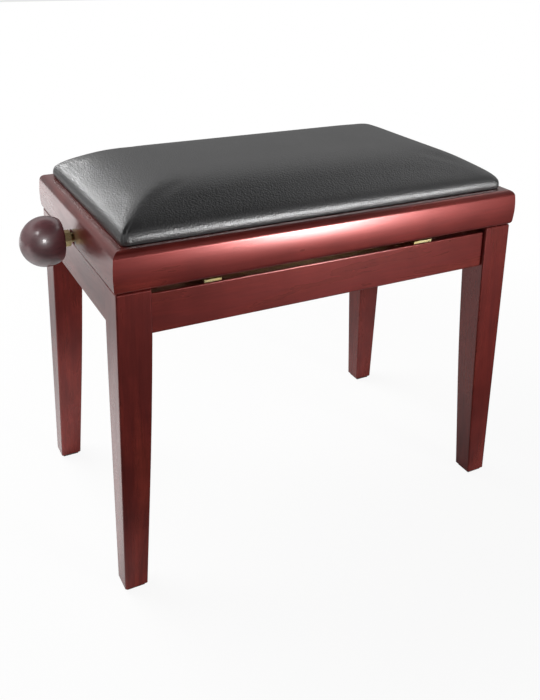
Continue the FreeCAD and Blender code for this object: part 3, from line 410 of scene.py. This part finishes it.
def plastic(name, dark, light, rough):
    """Dull moulded plastic with a slight cloudiness."""
    made, tree, shader, places = finish(name)
    clouds = noise(tree, places, 40, 3, 0.5)
    tree.links.new(ramp(tree, clouds, (0.3, dark), (0.7, light)), shader.inputs["Base Color"])
    tree.links.new(spread(tree, clouds, rough - 0.05, rough + 0.05), shader.inputs["Roughness"])
    raise_surface(tree, shader, noise(tree, places, 1500, 2, 0.5), 0.0001, 0.1)
    return made


black_vinyl = vinyl()
yellow_zinc = plated("yellow_zinc", (0.46, 0.35, 0.14), (0.62, 0.55, 0.30), 0.24, 0.38)
bright_steel = plated("bright_steel", (0.48, 0.48, 0.50), (0.66, 0.66, 0.67), 0.22, 0.36)
nylon = plastic("nylon", (0.70, 0.67, 0.58), (0.80, 0.77, 0.68), 0.45)
glide_plastic = plastic("glide_plastic", (0.016, 0.014, 0.013), (0.03, 0.026, 0.024), 0.85)
print("vinyl, two metals and two plastics")

# %% [markdown]
# ## The finishes on the pieces from CAD
# Each piece that stays as CAD made it gets the finish that its material slot names. The wood also needs
# the way its grain runs: legs upright, front and rear pieces along the bench, end pieces across it.

# %% Finishes on the pieces from CAD
SLOT_FINISH = {"knob_lacquer": knob_wood, "block_wood": block_wood, "plywood": plywood, "foam": plywood,
               "black_vinyl": black_vinyl, "glide_plastic": glide_plastic, "yellow_zinc": yellow_zinc,
               "bright_steel": bright_steel, "nylon": nylon}


def grain_axis(name):
    """The axis along which a wooden piece's grain runs."""
    if name.startswith("leg_"):
        return "z"
    return "y" if name.endswith(("_left", "_right")) else "x"


slot_of = {row["node"]: row["material_slot"] for row in frame["record"]["subparts"]}
for name, piece in nodes.items():
    slot = slot_of[name]
    piece.data.materials.clear()
    piece.data.materials.append(mahogany[grain_axis(name)] if slot == "mahogany" else SLOT_FINISH[slot])
print("finishes on", len(nodes), "pieces")

# %% [markdown]
# ## Working in edit mode
# Every new piece goes through the same few moves: select one object, open it in edit mode, select faces by
# their place, run an operator, apply a modifier. The small helpers below do that, so that the steps
# of each piece can be read one after the other.

# %% Helpers for modelling
def alone(piece):
    """Select one piece only and make it the active one."""
    bpy.ops.object.select_all(action="DESELECT")
    piece.select_set(True)
    bpy.context.view_layer.objects.active = piece


def open_piece(piece):
    """Open a piece in edit mode with all of it selected."""
    alone(piece)
    bpy.ops.object.mode_set(mode="EDIT")
    bpy.ops.mesh.select_all(action="SELECT")


def close_piece():
    bpy.ops.object.mode_set(mode="OBJECT")


def pick_faces(piece, test):
    """Select, in edit mode, the faces whose middle and normal pass a test."""
    bpy.ops.mesh.select_mode(type="FACE")
    bpy.ops.mesh.select_all(action="DESELECT")
    mesh = bmesh.from_edit_mesh(piece.data)
    for face in mesh.faces:
        face.select_set(bool(test(face.calc_center_median(), face.normal)))
    bmesh.update_edit_mesh(piece.data)


def apply(piece, modifier):
    alone(piece)
    bpy.ops.object.modifier_apply(modifier=modifier.name)


def count(piece):
    return f"{piece.name}: {len(piece.data.polygons)} faces"


print("helpers ready")

# %% [markdown]
# ## The cushion
# The seat is foam on a board under one tight sheet of vinyl. It has a full, rounded edge, slopes on four
# sides and soft hips that run in from the corners. A box with a subdivision surface would round it like a
# pillow. The foam's own CAD form has the right slopes, so a copy of it is closed, made as thick as the
# cover, and netted again with even squares. Smoothing softens the hips, a Displace modifier fills the edge
# out, and the cloth simulation blows the sheet up a little while it is held along the board. A cap keeps
# each point near its place, and a last smoothing irons out small creases, because the sheet is tight.

# %% Cushion form
cover_low, cover_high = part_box("seat_cover")
SEAT_X = (cover_low.x + cover_high.x) / 2
SEAT_HALF_X = (cover_high.x - cover_low.x) / 2
SEAT_HALF_Y = (cover_high.y - cover_low.y) / 2
RAIL_TOP = cover_low.z
NET = 3.6 * MM

cushion = bpy.data.objects.new("cushion", nodes["foam_pad"].data.copy())
bpy.context.collection.objects.link(cushion)
cushion.data.materials.clear()
cushion.data.materials.append(black_vinyl)
open_piece(cushion)
bpy.ops.mesh.remove_doubles(threshold=0.05 * MM)
bpy.ops.mesh.convex_hull()
bpy.ops.mesh.normals_make_consistent(inside=False)
close_piece()
thicker = cushion.modifiers.new("thicker", "DISPLACE")
thicker.mid_level = 0
thicker.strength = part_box("foam_pad")[0].z - RAIL_TOP
apply(cushion, thicker)
open_piece(cushion)
pick_faces(cushion, lambda place, normal: normal.z < -0.9)
bpy.ops.mesh.extrude_region_move(TRANSFORM_OT_translate={"value": (0, 0, -2 * NET)})
close_piece()
even_net = cushion.modifiers.new("even_net", "REMESH")
even_net.mode = "VOXEL"
even_net.voxel_size = NET
even_net.use_smooth_shade = True
apply(cushion, even_net)
print(count(cushion))

# %% [markdown]
# The hips of the foam are too sharp for vinyl, and its lower edge is too thin. Smoothing works on the slopes
# only, through a group of points that fades out near the board, where the sheet is tacked down. A bevel would
# leave a flat band, so the edge is filled out with a Displace modifier whose group fades up the slope.

# %% Soft hips
EDGE_HEIGHT, SLOPE_HEIGHT = 1 * MM, 12 * MM
FULNESS, FULL_REACH = 3.2 * MM, 17 * MM
HIP_ROUNDS = 24
slopes = cushion.vertex_groups.new(name="slopes")
tacked = cushion.vertex_groups.new(name="tacked")
full_edge = cushion.vertex_groups.new(name="full_edge")
for point in cushion.data.vertices:
    height = point.co.z - RAIL_TOP
    share = min(max((height - EDGE_HEIGHT) / (SLOPE_HEIGHT - EDGE_HEIGHT), 0), 1)
    over = max(0, height - SLOPE_HEIGHT) / FULL_REACH
    slopes.add([point.index], share, "REPLACE")
    tacked.add([point.index], 1 - share, "REPLACE")
    full_edge.add([point.index], share * math.exp(-over * over), "REPLACE")
soft_hips = cushion.modifiers.new("soft_hips", "SMOOTH")
soft_hips.factor = 0.5
soft_hips.iterations = HIP_ROUNDS
soft_hips.vertex_group = "slopes"
apply(cushion, soft_hips)
fuller = cushion.modifiers.new("fuller", "DISPLACE")
fuller.mid_level = 0
fuller.strength = FULNESS
fuller.vertex_group = "full_edge"
apply(cushion, fuller)
print("hips and edge softened, edge made fuller by", round(FULNESS / MM, 1), "mm")

# %% [markdown]
# Now the sheet is blown up. The Cloth modifier has pressure inside and no weight, and the tacked points stay
# still. A few steps are enough; the cap then keeps every point within a millimetre of its place.

# %% Stuffing
SWELL = 0.9 * MM
PRESSURE = 4
IRON_ROUNDS = 12
LAST_FRAME = 20
before = [point.co.copy() for point in cushion.data.vertices]
stuffing = cushion.modifiers.new("stuffing", "CLOTH")
stuffing.settings.use_pressure = True
stuffing.settings.uniform_pressure_force = PRESSURE
stuffing.settings.effector_weights.gravity = 0
stuffing.settings.vertex_group_mass = "tacked"
stuffing.point_cache.frame_end = LAST_FRAME
for step in range(1, LAST_FRAME + 1):
    bpy.context.scene.frame_set(step)
apply(cushion, stuffing)
bpy.context.scene.frame_set(1)
swells = []
for point, start in zip(cushion.data.vertices, before):
    move = point.co - start
    swells.append(move.length)
    if move.length > SWELL:
        point.co = start + move.normalized() * SWELL
ironed = cushion.modifiers.new("ironed", "SMOOTH")
ironed.factor = 0.5
ironed.iterations = IRON_ROUNDS
ironed.vertex_group = "slopes"
apply(cushion, ironed)
print("swell before the cap, middle and most:", round(sorted(swells)[len(swells) // 2] / MM, 2),
      round(max(swells) / MM, 2), "mm")

# %% [markdown]
# Underneath, the vinyl is turned in below the board and stapled, so a lip of it shows from below and the
# plywood shows inside the lip. The spare net below the rails is cut off with bisect, which leaves a crisp
# lower edge, and the open rim is extruded and scaled inwards twice: a short step that keeps the edge crisp
# under the subdivision, and a long one to the lip's own edge.

# %% Turned-in lip
LIP_CLEARANCE = 0.06 * MM
LIP_STEPS = 1.5 * MM, 25.2 * MM


def pick_rim():
    """Select the open edges of the piece in edit mode."""
    bpy.ops.mesh.select_mode(type="EDGE")
    bpy.ops.mesh.select_all(action="DESELECT")
    bpy.ops.mesh.select_non_manifold()


open_piece(cushion)
bpy.ops.mesh.bisect(plane_co=(0, 0, RAIL_TOP + LIP_CLEARANCE), plane_no=(0, 0, 1), clear_inner=True)
turned_in = 0
for step in LIP_STEPS:
    pick_rim()
    shares = [(half - step) / (half - turned_in) for half in (SEAT_HALF_X, SEAT_HALF_Y)]
    bpy.ops.mesh.extrude_edges_move()
    bpy.ops.transform.resize(value=(*shares, 1), center_override=(SEAT_X, 0, 0))
    turned_in = step
close_piece()
print(count(cushion))

# %% [markdown]
# At each corner the sheet is gathered: a short fold runs up the corner and dies out along the hip, with a
# little fulness on both sides of it. The net is too coarse for that, so the corners are subdivided first.
# The fold is then pushed in along the normals, by a formula of the distance across the hip and along it.

# %% Gathered corners
GATHER_REACH = 42 * MM
RIM_RISE = 6 * MM
FOLD_DEPTH = 1.3 * MM
FOLD_WIDTH = 1.7 * MM
FOLD_SIDE = 1.2 * MM
FOLD_RUN = 30 * MM
SIDE_FULNESS, SIDE_PLACE, SIDE_WIDTH = 0.4, 3.6 * MM, 2.2 * MM


def corner_place(place):
    """How far a point lies in from the nearest corner's two walls."""
    return SEAT_HALF_X - abs(place.x - SEAT_X), SEAT_HALF_Y - abs(place.y)


def near_corner(place, normal):
    inward_x, inward_y = corner_place(place)
    return math.hypot(inward_x, inward_y) < GATHER_REACH and place.z > RAIL_TOP + NET


def hump(value, width):
    """A smooth bell, 1 at the middle."""
    return math.exp(-(value / width) ** 2)


def fold_height(place):
    """How much the gathered sheet stands in or out at a place."""
    inward_x, inward_y = corner_place(place)
    along = (inward_x + inward_y) / math.sqrt(2)
    across = (inward_x - inward_y) / math.sqrt(2) - FOLD_SIDE
    fade = max(0.0, 1 - along / FOLD_RUN) ** 1.5 * min(1, (place.z - RAIL_TOP) / (3 * MM))
    fold = -FOLD_DEPTH * hump(across, FOLD_WIDTH)
    sides = hump(across - SIDE_PLACE, SIDE_WIDTH) + hump(across + SIDE_PLACE, SIDE_WIDTH)
    fulness = SIDE_FULNESS * FOLD_DEPTH * sides
    return fade * (fold + fulness)


open_piece(cushion)
pick_faces(cushion, near_corner)
bpy.ops.mesh.subdivide(number_cuts=3)
close_piece()
normals = [point.normal.copy() for point in cushion.data.vertices]
for point, normal in zip(cushion.data.vertices, normals):
    if near_corner(point.co, normal):
        point.co += normal * fold_height(point.co)
finer = cushion.modifiers.new("finer", "SUBSURF")
finer.levels = finer.render_levels = 1
apply(cushion, finer)
open_piece(cushion)
pick_rim()
bpy.ops.mesh.extrude_edges_move(TRANSFORM_OT_translate={"value": (0, 0, RIM_RISE)})
bpy.ops.mesh.fill()
close_piece()
bpy.ops.object.shade_smooth()
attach(cushion, "seat")
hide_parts("foam_pad", "seat_cover")
light_only([back_box], cushion)
cushion_top = max(point.co.z for point in cushion.data.vertices)
print(count(cushion), "crown at", round(cushion_top / MM, 1), "mm, CAD", round(cover_high.z / MM, 1), "mm")

# %% [markdown]
# ## The spindle's thread
# The knob turns an M12 spindle. CAD keeps it a plain rod, because a thread is a heavy solid. A texture of
# rings would not wind, so the thread is real: one pitch of its outline is drawn as a line, a Screw modifier
# winds it round the rod's axis, and bisect cuts both ends square. The outline's steps are shares of the pitch
# along the rod and of the thread's depth outwards: root, flank, crest, flank.

# %% Threaded spindle
PITCH = 1.75 * MM
THREAD_DEPTH = 1.02 * MM
THREAD_STEPS = 24
THREAD_FORM = (0.25, 0), (0.3125, 1), (0.125, 0), (0.3125, -1)
rod_low, rod_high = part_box("spindle_rod")
ROD_Y, ROD_Z = (rod_low.y + rod_high.y) / 2, (rod_low.z + rod_high.z) / 2
CREST = (rod_high.z - rod_low.z) / 2


def new_piece(name, material):
    """Name the object that an operator has just added and give it a finish."""
    piece = bpy.context.active_object
    piece.name = name
    piece.data.materials.append(material)
    return piece


bpy.ops.object.select_all(action="DESELECT")
bpy.ops.mesh.primitive_plane_add(size=1 * MM)
spindle = new_piece("threaded_spindle", yellow_zinc)
open_piece(spindle)
bpy.ops.mesh.select_mode(type="VERT")
bpy.ops.mesh.merge(type="CENTER")
bpy.ops.transform.translate(value=(rod_low.x - PITCH, 0, CREST - THREAD_DEPTH))
for along, out in THREAD_FORM:
    step = (along * PITCH, 0, out * THREAD_DEPTH)
    bpy.ops.mesh.extrude_vertices_move(TRANSFORM_OT_translate={"value": step})
close_piece()
winding = spindle.modifiers.new("winding", "SCREW")
winding.axis = "X"
winding.screw_offset = PITCH
winding.steps = winding.render_steps = THREAD_STEPS
winding.iterations = math.ceil((rod_high.x - rod_low.x) / PITCH) + 3
winding.use_normal_calculate = True
apply(spindle, winding)
open_piece(spindle)
bpy.ops.mesh.remove_doubles(threshold=0.01 * MM)
bpy.ops.transform.translate(value=(0, ROD_Y, ROD_Z))
for end, keep_right in ((rod_low.x, True), (rod_high.x, False)):
    bpy.ops.mesh.select_all(action="SELECT")
    bpy.ops.mesh.bisect(plane_co=(end, 0, 0), plane_no=(1, 0, 0), use_fill=True,
                        clear_inner=keep_right, clear_outer=not keep_right)
bpy.ops.mesh.select_all(action="SELECT")
bpy.ops.mesh.normals_make_consistent(inside=False)
close_piece()
bpy.ops.object.shade_smooth_by_angle(angle=math.radians(30))
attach(spindle, "spindle")
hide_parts("spindle_rod")
print(count(spindle))

# %% [markdown]
# ## Screws, nuts and staples
# The brackets, the angles and the board are held with pan-head screws, the spindle has two nuts, and the lip
# of the cover is stapled. The places of the screws come from the CAD solids: a copy of their node is taken
# apart into loose pieces, and each piece's box is kept.

# %% Places of small pieces
def solids(node):
    """The low and high corners of each separate solid in a CAD node."""
    loose = bpy.data.objects.new("loose", nodes[node].data.copy())
    bpy.context.collection.objects.link(loose)
    open_piece(loose)
    bpy.ops.mesh.remove_doubles(threshold=0.01 * MM)
    bpy.ops.mesh.separate(type="LOOSE")
    close_piece()
    corners = []
    for part in list(bpy.context.selected_objects):
        places = [point.co for point in part.data.vertices]
        corners.append((Vector([min(p[i] for p in places) for i in range(3)]),
                        Vector([max(p[i] for p in places) for i in range(3)])))
        bpy.data.objects.remove(part)
    return corners


def gather(name, pieces):
    """Join pieces into one object, with its place in its mesh."""
    bpy.ops.object.select_all(action="DESELECT")
    for piece in pieces:
        piece.select_set(True)
    bpy.context.view_layer.objects.active = pieces[0]
    if len(pieces) > 1:
        bpy.ops.object.join()
    bpy.ops.object.transform_apply(location=True, rotation=True, scale=True)
    joined = bpy.context.active_object
    joined.name = name
    return joined


def cut(piece, tool, kind="DIFFERENCE"):
    """Cut one piece with another and throw the tool away."""
    boolean = piece.modifiers.new("cut", "BOOLEAN")
    boolean.operation = kind
    boolean.object = tool
    apply(piece, boolean)
    bpy.data.objects.remove(tool)


print("screws to place:", len(solids("base_bracket_screws")), "in the base")

# %% [markdown]
# A screw is a cylinder with a bevelled head, and a Boolean cuts the cross into it. One is modelled for each
# kind and copied to every place, head up or head down. A bump would give a cross too, but not its shadow.

# %% Pan-head screws
HEAD_HIGH_SHARE, SHANK_SHARE = 0.28, 0.5
HEAD_ROUND = 1.4 * MM
RECESS_LONG, RECESS_WIDE, RECESS_DEEP = 4.6 * MM, 1.0 * MM, 1.3 * MM


def pan_screw(head_wide, head_high, shank_wide, long):
    """A screw with its head up, its tip at height 0."""
    bpy.ops.mesh.primitive_cylinder_add(vertices=32, radius=head_wide / 2, depth=head_high,
                                        location=(0, 0, long - head_high / 2))
    head = new_piece("screw_head", yellow_zinc)
    open_piece(head)
    pick_faces(head, lambda place, normal: normal.z > 0.9)
    bpy.ops.mesh.bevel(offset=HEAD_ROUND, segments=4, affect="EDGES")
    close_piece()
    for turn in (0, math.pi / 2):
        bpy.ops.mesh.primitive_cube_add(size=1, location=(0, 0, long), rotation=(0, 0, turn))
        bar = bpy.context.active_object
        bar.scale = (RECESS_LONG, RECESS_WIDE, 2 * RECESS_DEEP)
        bpy.ops.object.transform_apply(location=True, rotation=True, scale=True)
        alone(head)
        bpy.ops.object.transform_apply(location=True, rotation=True, scale=True)
        cut(head, bar)
    shank_long = long - head_high
    bpy.ops.mesh.primitive_cylinder_add(vertices=16, radius=shank_wide / 2, depth=shank_long,
                                        location=(0, 0, shank_long / 2))
    shank = new_piece("screw_shank", yellow_zinc)
    screw = gather("screw", [head, shank])
    bpy.ops.object.shade_smooth_by_angle(angle=math.radians(35))
    return screw


def place_screws(name, node, body, head_up):
    """Copy a screw to the place of every screw in a CAD node."""
    boxes = solids(node)
    low, high = boxes[0]
    head_wide, long = high.x - low.x, high.z - low.z
    pattern = pan_screw(head_wide, HEAD_HIGH_SHARE * head_wide, SHANK_SHARE * head_wide, long)
    copies = []
    for low, high in boxes:
        copy = bpy.data.objects.new(name, pattern.data.copy())
        bpy.context.collection.objects.link(copy)
        copy.location = ((low.x + high.x) / 2, (low.y + high.y) / 2, low.z if head_up else high.z)
        copy.rotation_euler.x = 0 if head_up else math.pi
        copies.append(copy)
    bpy.data.objects.remove(pattern)
    screws = gather(name, copies)
    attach(screws, body)
    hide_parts(node)
    print(count(screws), "for", len(boxes), "screws")


place_screws("bracket_screws", "base_bracket_screws", "base", True)
place_screws("angle_screws", "seat_angle_screws", "seat", False)
place_screws("spindle_screws", "spindle_bracket_screws", "seat", False)
place_screws("board_screws", "seat_board_screws", "seat", False)

# %% [markdown]
# A nut is a hexagon cut to the shape of a turned blank with bevelled rims, which gives the curved edges that
# real nuts have. Bevelling the hexagon itself would leave them straight.

# %% Spindle nuts
RIM_BEVEL = 0.9 * MM
ALONG_X = math.pi / 2
for name, node in (("round_cornered_lock_nut", "lock_nut"), ("round_cornered_tail_nut", "tail_nut")):
    low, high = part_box(node)
    middle, long = (low + high) / 2, high.x - low.x
    corner = max(high.y - low.y, high.z - low.z) / 2
    flat_up = high.z - low.z < high.y - low.y
    bpy.ops.mesh.primitive_cylinder_add(vertices=6, radius=corner, depth=long, location=middle)
    nut = new_piece(name, yellow_zinc)
    nut.rotation_euler = (math.pi / 6 if flat_up else 0, ALONG_X, 0)
    bpy.ops.object.transform_apply(location=True, rotation=True, scale=True)
    bpy.ops.mesh.primitive_cylinder_add(vertices=64, radius=corner, depth=long, location=middle,
                                        rotation=(0, ALONG_X, 0))
    blank = bpy.context.active_object
    bpy.ops.object.transform_apply(location=True, rotation=True, scale=True)
    open_piece(blank)
    pick_faces(blank, lambda place, normal: abs(normal.x) > 0.9)
    bpy.ops.mesh.bevel(offset=RIM_BEVEL, segments=1, affect="EDGES")
    close_piece()
    cut(nut, blank, "INTERSECT")
    alone(nut)
    bpy.ops.object.shade_smooth_by_angle(angle=math.radians(25))
    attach(nut, "spindle")
    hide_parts(node)
    print(count(nut))

# %% [markdown]
# Flat staples hold the lip under the board. One is a cube with softened edges, copied in rows that keep clear
# of the corner blocks and, at the ends, of the spindle's brackets.

# %% Staples
STAPLE_LONG, STAPLE_WIDE, STAPLE_HIGH = 11 * MM, 1.3 * MM, 0.6 * MM
STAPLE_STEP = 32 * MM
STAPLE_IN = 16 * MM
STAPLE_ROUND = 0.2 * MM
SIDE_RUN = 0.352
END_STEPS = -2.5, -1.5, 1.5, 2.5


bpy.ops.mesh.primitive_cube_add(size=1)
pressed = new_piece("staple", bright_steel)
pressed.scale = (STAPLE_LONG, STAPLE_WIDE, STAPLE_HIGH)
bpy.ops.object.transform_apply(location=True, rotation=True, scale=True)
open_piece(pressed)
bpy.ops.mesh.bevel(offset=STAPLE_ROUND, segments=2, affect="EDGES")
close_piece()


def staple(x, y, along_x):
    """A copy of the staple's bar, flat under the lip. Its legs would be out of sight in the board."""
    copy = bpy.data.objects.new("staple", pressed.data.copy())
    bpy.context.collection.objects.link(copy)
    copy.location = (x, y, RAIL_TOP + LIP_CLEARANCE - STAPLE_HIGH / 2)
    copy.rotation_euler.z = 0 if along_x else math.pi / 2
    return copy


row = []
for side in (-1, 1):
    side_y = side * (SEAT_HALF_Y - STAPLE_IN)
    end_x = SEAT_X + side * (SEAT_HALF_X - STAPLE_IN)
    for place in range(round(SIDE_RUN / STAPLE_STEP) + 1):
        row.append(staple(SEAT_X - SIDE_RUN / 2 + place * STAPLE_STEP, side_y, True))
    for place in END_STEPS:
        row.append(staple(end_x, place * STAPLE_STEP, False))
bpy.data.objects.remove(pressed)
staples = gather("lip_staples", row)
bpy.ops.object.shade_smooth_by_angle(angle=math.radians(35))
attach(staples, "seat")
print(count(staples), "for", len(row), "staples")
